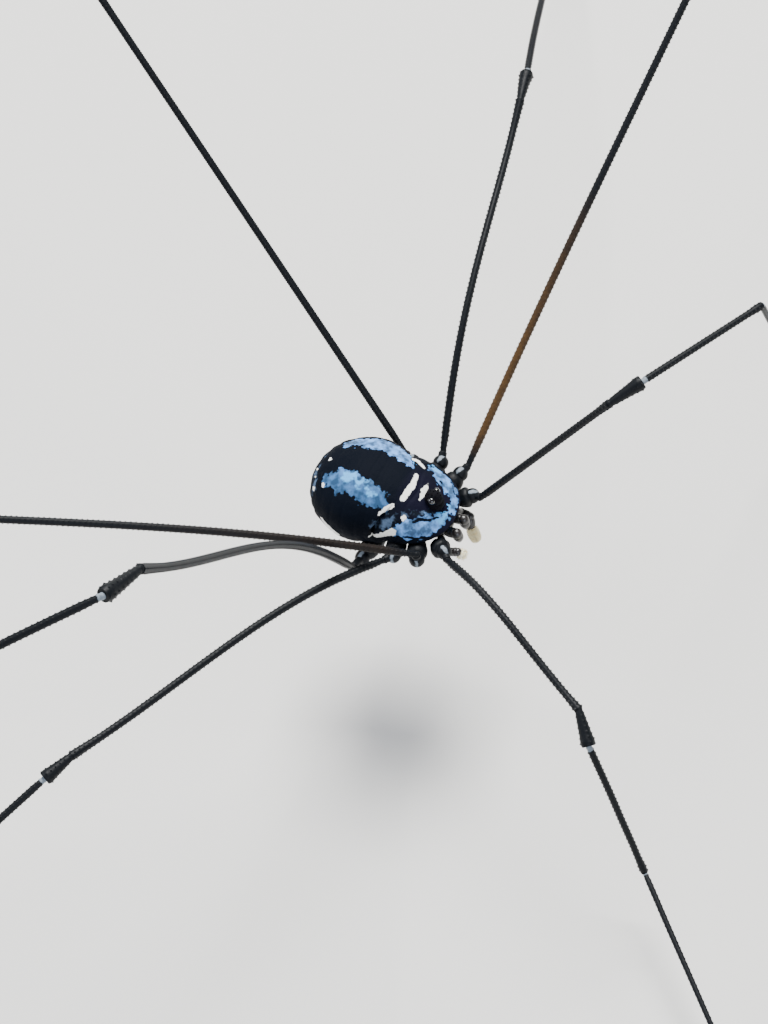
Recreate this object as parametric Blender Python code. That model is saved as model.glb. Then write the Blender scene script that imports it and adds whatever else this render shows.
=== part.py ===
"""A long-legged harvestman, life size, standing still with its body slung low between its knees.

The body faces +X with its left side at +Y, and its feet stand at z = 0. All sizes below are in
millimetres, and each mesh is brought to metres when it is made. Places on the body are given from
the middle of the body, and the whole animal is moved at the end so that the middle of its
footprint on the floor is the origin.
"""

import math
from dataclasses import dataclass

import bmesh
import bpy
from mathutils import Matrix, Vector

MM = 0.001

# The clear gap between two pieces that meet, and the finer one around the eyes
GAP = 0.3
FINE_GAP = 0.12

# Height of the middle of the body above the floor
BODY_HEIGHT = 10.0

# Abdomen: an egg, widest a little behind the front, with a lobe that reaches over the carapace
ABDOMEN_FRONT = 0.05
ABDOMEN_MIDDLE = -0.85
ABDOMEN_HALF_LENGTH = 2.43
ABDOMEN_HALF_WIDTH = 2.44
ABDOMEN_WIDEST_HEIGHT = 0.49
ABDOMEN_RISE = 1.70
ABDOMEN_DROP = 1.93
ABDOMEN_FULLNESS = 1.925
ABDOMEN_RINGS = 22
ABDOMEN_SIDES = 32
LOBE_CENTRE = Vector((0.10, 0.0, 1.13))
LOBE_RADII = Vector((1.02, 0.86, 0.80))

# Free plates behind the scutum: where each one starts, the step down at its hind edge, half the
# length of that step's slope, and how near to it no other ring of the abdomen is drawn
REAR_PLATE_STARTS = (-2.10, -2.47, -2.78, -3.02)
REAR_PLATE_STEP = 0.07
REAR_PLATE_SLOPE = 0.012
REAR_PLATE_CLEAR = 0.05

# Carapace: a low dome with an overhanging rim, on a narrow core that carries the legs
CARAPACE_BACK = 0.35
CARAPACE_FRONT = 3.33
CARAPACE_HALF_WIDTH = 2.14
CARAPACE_TAPER_FROM = 0.15
CARAPACE_TAPER_LENGTH = 3.21
CARAPACE_TAPER_POWER = 2.8
CARAPACE_CREST = 1.80
CARAPACE_LIP = 0.52
CARAPACE_SLOPE_FROM = 0.9
CARAPACE_SLOPE_POWER = 1.62
RIM_HEIGHT = 0.42
RIM_THICKNESS = 0.20
RIM_INSET = 0.08
RIM_SLOPE = 0.02
CORE_HALF_WIDTH = 0.80
CORE_WIDEST_SHARE = 0.7
CORE_SHOULDER_SHARE = 0.45
CORE_FRONT = 2.72
CORE_BOTTOM = -1.15
CORE_KEEL_HALF_WIDTH = 0.45
CARAPACE_RINGS = 15
CARAPACE_ARC_STEPS = 16

# Eye hill and its two eyes
EYE_HILL_X = 2.45
EYE_HILL_RADII = Vector((0.38, 0.34, 0.36))
EYE_HILL_SEAT = 0.34
EYE_RADIUS = 0.14
EYE_OFFSET = Vector((0.03, 0.34, 0.17))

# Chelicerae: a basal length forward to the knuckle, then the hand hanging from it
CHELICERA_ROOT = Vector((3.04, 0.40, -0.42))
CHELICERA_KNUCKLE = Vector((3.46, 0.38, -0.34))
CHELICERA_TIP = Vector((3.50, 0.36, -0.98))
CHELICERA_RADIUS = 0.25
CHELICERA_BASE_RADIUS = 0.2375
CHELICERA_HAND_RADIUS = 0.225
CHELICERA_TIP_RADIUS = 0.09
CHELICERA_BULGE = 0.03

# Pedipalps: root, joints and tip, written for each side because the two are held differently
PALP_JOINT_RADIUS = 0.25
PALP_RADIUS = 0.245
PALP_END_RADIUS = 0.225
PALP_TIP_RADIUS = 0.13
PALP_TAPER_FROM = 0.6
PALP_ROUTES = {
    "left": ((3.06, 1.06, -0.95), (3.40, 1.02, -1.04), (3.52, 0.76, -1.45), (3.86, 0.46, -1.92)),
    "right": ((3.06, -1.10, -0.95), (3.50, -1.05, -0.74), (3.75, -1.01, -0.68), (4.03, -0.90, -1.02)),
}

# Legs: thickness of the solids, which is never less than half a millimetre before the tips
LEG_RADIUS = 0.25
FEMUR_END_RADIUS = 0.29
KNEE_RADIUS = 0.34
PATELLA_END_RADIUS = 0.305
JOINT_RADIUS = 0.28
COXA_RADIUS = 0.26
COXA_END_RADIUS = 0.286
TROCHANTER_RADIUS = 0.33
CLAW_RADIUS = 0.10
LEG_SIDES = 8

# Feet: height of the ankle above the floor, and how much of each tarsus lies on the floor
ANKLE_HEIGHT = 1.6
STEEPEST_SHIN = -66.0
LYING_SHARE = 0.45
LYING_POINTS = (0.3, 0.6, 0.85, 1.0)
LANDING_STEPS = 7
LANDING_PULL = 0.38
LANDING_REACH = 0.94
LEAST_LANDING_REACH = 0.45

BLACK_SHELL = (0.010, 0.010, 0.014, 1.0)
SILVER_BLACK = (0.045, 0.052, 0.075, 1.0)
CREAM = (0.80, 0.72, 0.50, 1.0)
EYE_BLACK = (0.002, 0.002, 0.003, 1.0)


@dataclass(frozen=True)
class LegBuild:
    """Sizes of a pair of legs: the hip's place on the left side, and the segment lengths."""

    root: tuple
    hip: tuple
    femur: float
    patella: float
    tibia: float
    metatarsus: float
    tarsus: float


@dataclass(frozen=True)
class LegPose:
    """How one leg is held: turn from straight ahead and rise above level, in degrees.

    The trochanter also has its reach from the hip, and the bow is how far the femur rises above
    the straight line to the knee, a third of the way along it.
    """

    trochanter: tuple
    femur: tuple
    patella: tuple
    tibia: tuple
    metatarsus_turn: float
    tarsus_turn: float
    bow: float


@dataclass(frozen=True)
class SegmentShape:
    """How a leg segment is drawn: its steps, its share of the bow, and its radii along it."""

    steps: int
    bow_share: float
    shares: tuple
    radii: tuple


SEGMENT_SHAPES = {
    "femur": SegmentShape(11, 1.0, (0.0, 0.82, 1.0), (LEG_RADIUS, LEG_RADIUS, FEMUR_END_RADIUS)),
    "patella": SegmentShape(3, 0.0, (0.0, 0.8, 1.0), (LEG_RADIUS, KNEE_RADIUS, PATELLA_END_RADIUS)),
    "tibia": SegmentShape(6, 0.2, (0.0, 0.9, 1.0), (LEG_RADIUS, LEG_RADIUS, JOINT_RADIUS)),
    "metatarsus": SegmentShape(6, 0.0, (0.0, 0.1, 1.0), (JOINT_RADIUS, LEG_RADIUS, LEG_RADIUS)),
}

LEG_BUILDS = {
    1: LegBuild((2.80, 1.16, -0.24), (3.40, 1.50, -0.10), 9.0, 1.6, 6.8, 10.5, 9.5),
    2: LegBuild((1.94, 1.08, -0.36), (2.50, 2.30, 0.00), 28.0, 2.0, 23.5, 28.0, 24.0),
    3: LegBuild((1.14, 1.08, -0.42), (1.50, 2.50, 0.10), 16.2, 1.5, 13.0, 16.5, 14.0),
    4: LegBuild((0.34, 1.08, -0.62), (-0.02, 2.62, -0.72), 24.8, 1.9, 19.5, 25.0, 20.0),
}

LEG_POSES = {
    ("left", 1): LegPose((-4, 22, 0.50), (20.0, 49.1), (50, 15), (65, -11), 95, 92, 0.00),
    ("left", 2): LegPose((64, 20, 0.50), (80.0, 29.6), (80, 6), (76, -14), 72, 70, 0.32),
    ("left", 3): LegPose((99, 22, 0.50), (98.1, 21.1), (101, 4), (108, -19), 112, 114, 1.49),
    ("left", 4): LegPose((158, 32, 0.50), (151.7, 38.0), (150, 16), (150, -20), 150, 152, 0.00),
    ("right", 1): LegPose((-49, 7, 0.50), (-30.0, -2.4), (-52, -27), (-34, -60), -46, -40, 0.79),
    ("right", 2): LegPose((-45, 80, 0.55), (-150.6, 22.3), (-154, 6), (-160, -12), -166, -168, 0.71),
    ("right", 3): LegPose((-122, 12, 0.50), (-114.5, 12.8), (-116, -5), (-118, -16), -104, -100, 0.99),
    ("right", 4): LegPose((-93, 27, 0.90), (-83.1, 57.6), (-102, 23), (-137, -15), -150, -156, 1.75),
}


def clear_scene():
    """Take every object out of the scene."""
    for obj in list(bpy.data.objects):
        bpy.data.objects.remove(obj, do_unlink=True)


def make_material(name, colour, roughness, metallic=0.0):
    """Return a Principled material of one colour."""
    material = bpy.data.materials.new(name)
    material.use_nodes = True
    shader = material.node_tree.nodes["Principled BSDF"]
    shader.inputs["Base Color"].default_value = colour
    shader.inputs["Roughness"].default_value = roughness
    shader.inputs["Metallic"].default_value = metallic
    return material


def direction(turn, rise):
    """Return the unit vector with a turn from +X towards +Y and a rise above level."""
    turn, rise = math.radians(turn), math.radians(rise)
    return Vector((math.cos(rise) * math.cos(turn), math.cos(rise) * math.sin(turn), math.sin(rise)))


def link_mesh(name, bm, material=None):
    """Make a named object from a mesh drawn in millimetres, and link it to the scene."""
    bmesh.ops.recalc_face_normals(bm, faces=bm.faces)
    mesh = bpy.data.meshes.new(name)
    bm.to_mesh(mesh)
    bm.free()
    obj = bpy.data.objects.new(name, mesh)
    bpy.context.collection.objects.link(obj)
    if material:
        mesh.materials.append(material)
    return obj


def loft(sections):
    """Skin a closed shape over rings of equally many points, with a flat cap at each end."""
    bm = bmesh.new()
    rings = [[bm.verts.new(point) for point in section] for section in sections]
    count = len(rings[0])
    for ring, following in zip(rings, rings[1:]):
        for i in range(count):
            j = (i + 1) % count
            bm.faces.new((ring[i], ring[j], following[j], following[i]))
    bm.faces.new(reversed(rings[0]))
    bm.faces.new(rings[-1])
    return bm


def tube(route, radii, sides=LEG_SIDES):
    """Skin a round tube along a route, with one flat side of each ring turned to the floor."""
    sections = []
    for i, (centre, radius) in enumerate(zip(route, radii)):
        along = (route[min(i + 1, len(route) - 1)] - route[max(i - 1, 0)]).normalized()
        across = along.cross(Vector((0, 0, 1))).normalized()
        upward = across.cross(along)
        ring = []
        for side in range(sides):
            angle = 2 * math.pi * (side + 0.5) / sides
            ring.append(centre + radius * (math.sin(angle) * across + math.cos(angle) * upward))
        sections.append(ring)
    return loft(sections)


def ball(centre, radii, segments=12, rings=8):
    """Return an ellipsoid as a mesh."""
    bm = bmesh.new()
    matrix = Matrix.Translation(centre) @ Matrix.Diagonal((*radii, 1.0))
    bmesh.ops.create_uvsphere(bm, u_segments=segments, v_segments=rings, radius=1.0, matrix=matrix)
    return bm


def combine(target, others, operation):
    """Join other objects to the target, or cut them from it, and remove them."""
    for other in others:
        modifier = target.modifiers.new("combine", "BOOLEAN")
        modifier.operation = operation
        modifier.object = other
    depsgraph = bpy.context.evaluated_depsgraph_get()
    mesh = bpy.data.meshes.new_from_object(target.evaluated_get(depsgraph))
    target.modifiers.clear()
    target.data = mesh
    for other in others:
        bpy.data.objects.remove(other, do_unlink=True)
    return target


def union(name, meshes, material):
    """Join several closed meshes into one named node."""
    pieces = [link_mesh(name + "_piece", bm) for bm in meshes]
    node = combine(pieces[0], pieces[1:], "UNION")
    node.name = name
    node.data.materials.clear()
    node.data.materials.append(material)
    return node


def abdomen_scale(x):
    """Return how full the abdomen is at a place along it, from 0 at its ends to 1."""
    share = min(1.0, abs(x - ABDOMEN_MIDDLE) / ABDOMEN_HALF_LENGTH)
    return max(0.0, 1.0 - share ** ABDOMEN_FULLNESS) ** (1.0 / ABDOMEN_FULLNESS)


def rear_plate_step(x):
    """Return the small step in the back at a place along it, where one plate overlaps the next."""
    for start, end in zip(REAR_PLATE_STARTS, REAR_PLATE_STARTS[1:]):
        if end < x <= start:
            return REAR_PLATE_STEP * (start - x) / (start - end)
    return 0.0


def make_abdomen(material):
    """Make the abdomen with the plates of its hind end and the lobe at the front of its scutum."""
    front = ABDOMEN_FRONT
    back = ABDOMEN_MIDDLE - ABDOMEN_HALF_LENGTH
    plain = [front + (back - front) * math.sin(0.5 * math.pi * i / ABDOMEN_RINGS)
             for i in range(ABDOMEN_RINGS)]
    edges = [edge + side for edge in REAR_PLATE_STARTS for side in (REAR_PLATE_SLOPE, -REAR_PLATE_SLOPE)]
    kept = [x for x in plain if min(abs(x - edge) for edge in edges) > REAR_PLATE_CLEAR]
    sections = []
    for x in sorted(kept + edges, reverse=True):
        full = abdomen_scale(x)
        step = rear_plate_step(x)
        ring = []
        for side in range(ABDOMEN_SIDES):
            angle = 2 * math.pi * side / ABDOMEN_SIDES
            y = (ABDOMEN_HALF_WIDTH * full + step) * math.cos(angle)
            height = ABDOMEN_RISE * full + step if math.sin(angle) > 0 else ABDOMEN_DROP * full
            ring.append(Vector((x, y, ABDOMEN_WIDEST_HEIGHT + height * math.sin(angle))))
        sections.append(ring)
    whole = union("abdomen", [loft(sections), ball(LOBE_CENTRE, LOBE_RADII, 20, 12)], material)
    return hollow_for_legs(whole, [4])


def carapace_half_width(x):
    """Return the half width of the carapace at a place along it."""
    share = max(0.0, x - CARAPACE_TAPER_FROM) / CARAPACE_TAPER_LENGTH
    return CARAPACE_HALF_WIDTH * math.sqrt(max(0.0, 1.0 - share ** CARAPACE_TAPER_POWER))


def carapace_top(x):
    """Return the height of the carapace on its midline at a place along it."""
    share = max(0.0, x - CARAPACE_SLOPE_FROM) / (CARAPACE_FRONT - CARAPACE_SLOPE_FROM)
    return CARAPACE_CREST - (CARAPACE_CREST - CARAPACE_LIP) * share ** CARAPACE_SLOPE_POWER


def carapace_section(x):
    """Return the outline across the front body at one place: dome, rim, core and keel."""
    half_width = carapace_half_width(x)
    top = carapace_top(x)
    under = RIM_HEIGHT - RIM_THICKNESS
    core = min(CORE_HALF_WIDTH, CORE_WIDEST_SHARE * half_width)
    bottom = CORE_BOTTOM if x <= CORE_FRONT else under - RIM_SLOPE
    points = []
    for i in range(CARAPACE_ARC_STEPS + 1):
        angle = math.pi * i / CARAPACE_ARC_STEPS
        points.append((half_width * math.cos(angle), RIM_HEIGHT + (top - RIM_HEIGHT) * math.sin(angle)))
    keel = CORE_KEEL_HALF_WIDTH * core / CORE_HALF_WIDTH
    shoulder = bottom + CORE_SHOULDER_SHARE * (under - bottom)
    rim = (half_width - RIM_INSET, under + RIM_SLOPE)
    points += [(-rim[0], rim[1]), (-core, under), (-core, shoulder), (-keel, bottom)]
    points += [(keel, bottom), (core, shoulder), (core, under), rim]
    return [Vector((x, y, z)) for y, z in points]


def make_prosoma(material):
    """Make the front body, notched at the back to take the lobe of the abdomen."""
    places = [CARAPACE_BACK + (CARAPACE_FRONT - CARAPACE_BACK) * math.sin(0.5 * math.pi * i / CARAPACE_RINGS)
              for i in range(CARAPACE_RINGS + 1)]
    places = [x for x in places if abs(x - CORE_FRONT) > 0.04] + [CORE_FRONT, CORE_FRONT + 0.01]
    body = link_mesh("prosoma", loft([carapace_section(x) for x in sorted(places)]), material)
    notch = link_mesh("notch", ball(LOBE_CENTRE, LOBE_RADII + Vector((GAP, GAP, GAP)), 20, 12))
    return hollow_for_legs(combine(body, [notch], "DIFFERENCE"), LEG_BUILDS)


def coxa_shape(side, number, grown=0.0):
    """Return the closed meshes of a coxa and its trochanter, grown on all sides for a hollow."""
    build = LEG_BUILDS[number]
    root, hip = (Vector((p[0], side * p[1], p[2])) for p in (build.root, build.hip))
    root += (root - hip).normalized() * grown
    return [ball(hip, (TROCHANTER_RADIUS + grown,) * 3),
            tube([root, hip], [COXA_RADIUS + grown, COXA_END_RADIUS + grown])]


def hollow_for_legs(body, numbers):
    """Cut from a piece of the body the room that the named pairs of coxae need."""
    hollows = [link_mesh("hollow", mesh) for number in numbers for side in (1, -1)
               for mesh in coxa_shape(side, number, GAP)]
    return combine(body, hollows, "DIFFERENCE")


def make_eye_hill(hill_material, eye_material):
    """Make the eye hill, hollowed at each side for an eye, and the two eyes."""
    centre = Vector((EYE_HILL_X, 0.0, carapace_top(EYE_HILL_X) + GAP))
    hill = link_mesh("ocularium", ball(centre, EYE_HILL_RADII, 16, 10), hill_material)
    seat = loft([carapace_section(CARAPACE_BACK + (CARAPACE_FRONT - CARAPACE_BACK) * i / CARAPACE_RINGS)
                 for i in range(CARAPACE_RINGS + 1)])
    bmesh.ops.translate(seat, verts=seat.verts, vec=(0, 0, EYE_HILL_SEAT))
    cuts = [link_mesh("cut", seat)]
    for name, side in (("eye_left", 1), ("eye_right", -1)):
        place = centre + Vector((EYE_OFFSET.x, side * EYE_OFFSET.y, EYE_OFFSET.z))
        link_mesh(name, ball(place, (EYE_RADIUS,) * 3, 10, 7), eye_material)
        cuts.append(link_mesh("cut", ball(place, (EYE_RADIUS + FINE_GAP,) * 3, 12, 8)))
    return combine(hill, cuts, "DIFFERENCE")


def make_chelicera(side_name, side, material):
    """Make one chelicera from its basal length, knuckle and hanging hand."""
    root, knuckle, tip = (Vector((p.x, side * p.y, p.z))
                          for p in (CHELICERA_ROOT, CHELICERA_KNUCKLE, CHELICERA_TIP))
    hand_middle = knuckle.lerp(tip, 0.5) + Vector((CHELICERA_BULGE, 0.0, 0.0))
    basal = tube([root, knuckle], [CHELICERA_BASE_RADIUS] * 2)
    hand = tube([knuckle, hand_middle, tip],
                [CHELICERA_HAND_RADIUS, CHELICERA_HAND_RADIUS, CHELICERA_TIP_RADIUS])
    return union(f"chelicera_{side_name}", [ball(knuckle, (CHELICERA_RADIUS,) * 3), basal, hand], material)


def make_palp(side_name, material):
    """Make one pedipalp as a jointed feeler with a rounded tip."""
    route = [Vector(point) for point in PALP_ROUTES[side_name]]
    pieces = [tube([a, b], [PALP_RADIUS, PALP_RADIUS]) for a, b in zip(route, route[1:-1])]
    pieces += [ball(joint, (PALP_JOINT_RADIUS,) * 3, 10, 7) for joint in route[1:-1]]
    middle = route[-2].lerp(route[-1], PALP_TAPER_FROM)
    pieces.append(tube([route[-2], middle, route[-1]], [PALP_RADIUS, PALP_END_RADIUS, PALP_TIP_RADIUS]))
    return union(f"palp_{side_name}", pieces, material)


def bend_clearance(radius, before, after):
    """Return how far a tube stops short of a joint so that the next one clears it by the gap."""
    bend = before.angle(after)
    return 0.5 * GAP + radius * math.tan(0.5 * bend)


def bowed_route(start, end, bow, steps):
    """Return points from start to end that rise by the bow, most a third of the way along."""
    points = []
    for i in range(steps + 1):
        share = i / steps
        rise = 27 / 4 * bow * share * (1 - share) ** 2
        points.append(start.lerp(end, share) + Vector((0, 0, rise)))
    return points


def landing_route(ankle, shin, turn, length):
    """Return the tarsus's points: down from the ankle in a curve, then along the floor."""
    heading = direction(turn, 0)
    lying = LYING_SHARE * length
    height = LEG_RADIUS * math.cos(math.pi / LEG_SIDES) - BODY_HEIGHT
    drop = ankle.z - height
    reach = max(LEAST_LANDING_REACH, math.sqrt(max((length - lying) ** 2 - drop ** 2, 0.0)))
    touch = Vector((ankle.x, ankle.y, height)) + heading * (LANDING_REACH * reach)
    pull = LANDING_PULL * (length - lying)
    first_pull = min(pull, drop / -shin.z)
    handles = (ankle, ankle + shin * first_pull, touch - heading * pull, touch)
    points = []
    for i in range(LANDING_STEPS + 1):
        t = i / LANDING_STEPS
        weights = ((1 - t) ** 3, 3 * t * (1 - t) ** 2, 3 * t * t * (1 - t), t ** 3)
        points.append(sum((w * h for w, h in zip(weights, handles)), Vector()))
    for share in LYING_POINTS:
        points.append(touch + heading * (lying * share))
    return points


def make_leg(side_name, number, material):
    """Make the six nodes of one leg, each placed from the end of the one before."""
    side = 1 if side_name == "left" else -1
    build = LEG_BUILDS[number]
    pose = LEG_POSES[(side_name, number)]
    name = f"leg_{side_name}_{number}_"
    hip = Vector((build.hip[0], side * build.hip[1], build.hip[2]))

    femur_way = direction(*pose.femur)
    patella_way = direction(*pose.patella)
    tibia_way = direction(*pose.tibia)
    trochanter_way = direction(*pose.trochanter[:2])
    base = hip + trochanter_way * pose.trochanter[2]
    knee = base + femur_way * build.femur
    patella_end = knee + patella_way * build.patella
    tibia_end = patella_end + tibia_way * build.tibia
    fall = (ANKLE_HEIGHT - BODY_HEIGHT - tibia_end.z) / build.metatarsus
    shin_rise = max(STEEPEST_SHIN, math.degrees(math.asin(max(-1.0, fall))))
    shin_way = direction(pose.metatarsus_turn, shin_rise)
    ankle = tibia_end + shin_way * build.metatarsus

    joints = (base, knee, patella_end, tibia_end, ankle)
    joint_radii = (LEG_RADIUS, PATELLA_END_RADIUS, KNEE_RADIUS, JOINT_RADIUS, LEG_RADIUS)
    landing = landing_route(ankle, shin_way, pose.tarsus_turn, build.tarsus)
    ways = (trochanter_way, femur_way, patella_way, tibia_way, shin_way,
            (landing[1] - landing[0]).normalized())
    stops = [bend_clearance(radius, before, after)
             for radius, before, after in zip(joint_radii, ways, ways[1:])]
    stub = tube([hip, base - trochanter_way * stops[0]], [LEG_RADIUS, LEG_RADIUS])
    union(name + "coxa", coxa_shape(side, number) + [stub], material)

    for i, (segment, shape) in enumerate(SEGMENT_SHAPES.items()):
        start = joints[i] + ways[i + 1] * stops[i]
        end = joints[i + 1] - ways[i + 1] * stops[i + 1]
        route = bowed_route(start, end, shape.bow_share * pose.bow, shape.steps)
        sizes = [blend(j / shape.steps, shape.shares, shape.radii) for j in range(shape.steps + 1)]
        link_mesh(name + segment, tube(route, sizes), material)

    landing[0] += ways[5] * stops[4]
    sizes = [LEG_RADIUS] * (len(landing) - 1) + [CLAW_RADIUS]
    landing[-1].z = CLAW_RADIUS * math.cos(math.pi / LEG_SIDES) - BODY_HEIGHT
    link_mesh(name + "tarsus", tube(landing, sizes), material)


def blend(share, shares, values):
    """Return the value at a share along a line of named values."""
    for (low, a), (high, b) in zip(zip(shares, values), list(zip(shares, values))[1:]):
        if share <= high:
            return a + (b - a) * (share - low) / (high - low)
    return values[-1]


def stand_on_origin(objects):
    """Lift the body to its height, bring every mesh to metres and centre its footprint."""
    xs = [v.co.x for obj in objects for v in obj.data.vertices]
    ys = [v.co.y for obj in objects for v in obj.data.vertices]
    middle = Vector(((min(xs) + max(xs)) / 2, (min(ys) + max(ys)) / 2, -BODY_HEIGHT))
    for obj in objects:
        obj.data.transform(Matrix.Scale(MM, 4) @ Matrix.Translation(-middle))
        obj.data.shade_smooth()
        obj.data.set_sharp_from_angle(angle=math.radians(40))


def main():
    """Build the whole animal."""
    clear_scene()
    shell = make_material("black_shell", BLACK_SHELL, 0.35)
    back = make_material("silver_black_back", SILVER_BLACK, 0.28)
    cream = make_material("cream_palp", CREAM, 0.5)
    eye = make_material("eye_black", EYE_BLACK, 0.08)
    make_prosoma(back)
    make_abdomen(back)
    make_eye_hill(shell, eye)
    for side_name, side in (("left", 1), ("right", -1)):
        make_chelicera(side_name, side, shell)
        make_palp(side_name, cream)
    for side_name, number in LEG_POSES:
        make_leg(side_name, number, shell)
    stand_on_origin(list(bpy.context.scene.objects))


main()
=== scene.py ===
"""The looks of a life-size harvestman that stands on a pale floor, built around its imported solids.

Shapes are drawn in millimetres from the middle of the body, with +X towards the head, +Y towards
the animal's left and +Z up. Each finished piece is then brought to metres and to its place.
"""

import logging
import math
from dataclasses import dataclass
from enum import Enum
from typing import Callable, Sequence

import bpy
import numpy as np
from mathutils import Matrix, Vector


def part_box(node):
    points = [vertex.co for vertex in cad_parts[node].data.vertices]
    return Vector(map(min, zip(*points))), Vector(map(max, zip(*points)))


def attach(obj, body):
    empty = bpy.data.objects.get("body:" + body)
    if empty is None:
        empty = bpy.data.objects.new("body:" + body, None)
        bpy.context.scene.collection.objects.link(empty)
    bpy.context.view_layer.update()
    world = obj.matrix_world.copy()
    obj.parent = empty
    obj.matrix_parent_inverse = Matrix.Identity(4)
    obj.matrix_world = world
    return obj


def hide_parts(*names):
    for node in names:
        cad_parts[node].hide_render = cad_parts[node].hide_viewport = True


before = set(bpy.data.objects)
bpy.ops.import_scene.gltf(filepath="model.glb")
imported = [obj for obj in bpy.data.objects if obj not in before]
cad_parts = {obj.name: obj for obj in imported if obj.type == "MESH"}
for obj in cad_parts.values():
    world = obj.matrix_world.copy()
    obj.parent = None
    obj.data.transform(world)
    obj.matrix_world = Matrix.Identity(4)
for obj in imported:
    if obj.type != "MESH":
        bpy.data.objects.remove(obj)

logging.basicConfig(level=logging.INFO, format="%(message)s")
LOG = logging.getLogger("harvestman")

Pair = tuple[float, float]
Place = tuple[float, float, float]
Profile = tuple[Pair, ...]

MM = 0.001
UP = Vector((0.0, 0.0, 1.0))
BODY = "root"

# Where the middle of the body is, from the front of the carapace and above the floor, in millimetres
CARAPACE_REACH = 3.33
BODY_HEIGHT = 10.0

# The distance from every mark at which a place starts, in millimetres
FAR_OUTSIDE = 9.0

# Points that a relief moves by a smaller share than this are left alone
LEAST_WEIGHT = 0.001

# Two directions are taken for one where their cosine is over this
NEARLY_STRAIGHT = 0.995

# The sharpest edge between two faces that is still shaded smooth, in degrees
SMOOTH_ANGLE = 50

# Nearly all the values of a noise lie between these two
NOISE_LOW, NOISE_HIGH = 0.3, 0.7

# The distance that is stored where a leg has no pale mark, and at a knuckle that is all pale
NO_RING, ALL_RING = -1.0, 0.1

# How far from the ends of a CAD node its first and last cuts are, in millimetres
CUT_MARGIN = 0.04

# How soft the edge of each kind of mark on the back is, in millimetres
EDGE_SOFTNESS = {"silver": 0.07, "dull": 0.12, "bright": 0.20, "white": 0.03, "line": 0.05}
CRISP_KINDS = ("white", "line")

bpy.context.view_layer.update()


def body_middle() -> Vector:
    """Return the middle of the body in the frame, in metres."""
    low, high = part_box("prosoma")
    return Vector((high.x - CARAPACE_REACH * MM, 0.5 * (low.y + high.y), BODY_HEIGHT * MM))


MIDDLE = body_middle()


class Side(Enum):
    """The two sides of the animal, with the sign of +Y."""

    LEFT = 1
    RIGHT = -1

    @property
    def word(self) -> str:
        """The side's word in the names of the nodes."""
        return self.name.lower()


class Slot(Enum):
    """The record's material slots."""

    BACK = "back_shell"
    DARK = "dark_shell"
    LEG = "leg"
    PALP = "palp"
    EYE = "eye"


def linear(hex_colour: str) -> tuple[float, float, float, float]:
    """Turn an sRGB hex colour into linear values.

    Args:
        hex_colour: Six hex digits, such as "1A1B20".

    Returns:
        Red, green, blue and alpha.
    """
    values = [int(hex_colour[i:i + 2], 16) / 255.0 for i in (0, 2, 4)]
    red, green, blue = (v / 12.92 if v <= 0.04045 else ((v + 0.055) / 1.055) ** 2.4 for v in values)
    return (red, green, blue, 1.0)


def add_node(tree: bpy.types.NodeTree, kind: str, inputs: dict | None = None,
             **settings) -> bpy.types.Node:
    """Add a shader node with its settings and links.

    Args:
        tree: The material's node tree.
        kind: The node's type.
        inputs: For each input's name or number, a value or the output that feeds it.
        settings: The node's own properties.

    Returns:
        The new node.
    """
    node = tree.nodes.new(kind)
    for name, value in settings.items():
        setattr(node, name, value)
    for name, value in (inputs or {}).items():
        if isinstance(value, bpy.types.NodeSocket):
            tree.links.new(value, node.inputs[name])
        else:
            node.inputs[name].default_value = value
    return node


def new_material(name: str) -> tuple[bpy.types.Material, bpy.types.NodeTree, bpy.types.Node]:
    """Make a material whose shader is ready to be set.

    Args:
        name: What the real material is.

    Returns:
        The material, its node tree and its Principled shader.
    """
    material = bpy.data.materials.new(name)
    material.use_nodes = True
    tree = material.node_tree
    return material, tree, tree.nodes["Principled BSDF"]


def layered(tree: bpy.types.NodeTree, colour, *layers: tuple) -> bpy.types.NodeSocket:
    """Lay colours over a first one, each by its own mask.

    Args:
        tree: The material's node tree.
        colour: The colour underneath, as an output or a value.
        layers: Pairs of a mask and the colour that covers where the mask is 1.

    Returns:
        The output of the finished colour.
    """
    for mask, cover in layers:
        node = add_node(tree, "ShaderNodeMix", {0: mask, 6: colour, 7: cover}, data_type="RGBA")
        colour = node.outputs[2]
    return colour


def edge_mask(tree: bpy.types.NodeTree, name: str, wander: bpy.types.NodeSocket,
              softness: float) -> bpy.types.NodeSocket:
    """Make the mask of a mark from the distance to its edge that the mesh carries.

    Args:
        tree: The material's node tree.
        name: The attribute that holds the distance inside the mark's edge, in millimetres.
        wander: An output that moves the edge in and out, in millimetres.
        softness: The width of the edge in millimetres.

    Returns:
        An output that is 1 inside the mark and 0 outside it.
    """
    distance = add_node(tree, "ShaderNodeAttribute", attribute_name=name)
    moved = add_node(tree, "ShaderNodeMath", {0: distance.outputs["Fac"], 1: wander}, operation="ADD")
    ramp = add_node(tree, "ShaderNodeMapRange", {"Value": moved.outputs[0], "From Min": -softness / 2,
                                                 "From Max": softness / 2}, interpolation_type="SMOOTHSTEP")
    return ramp.outputs[0]


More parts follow.
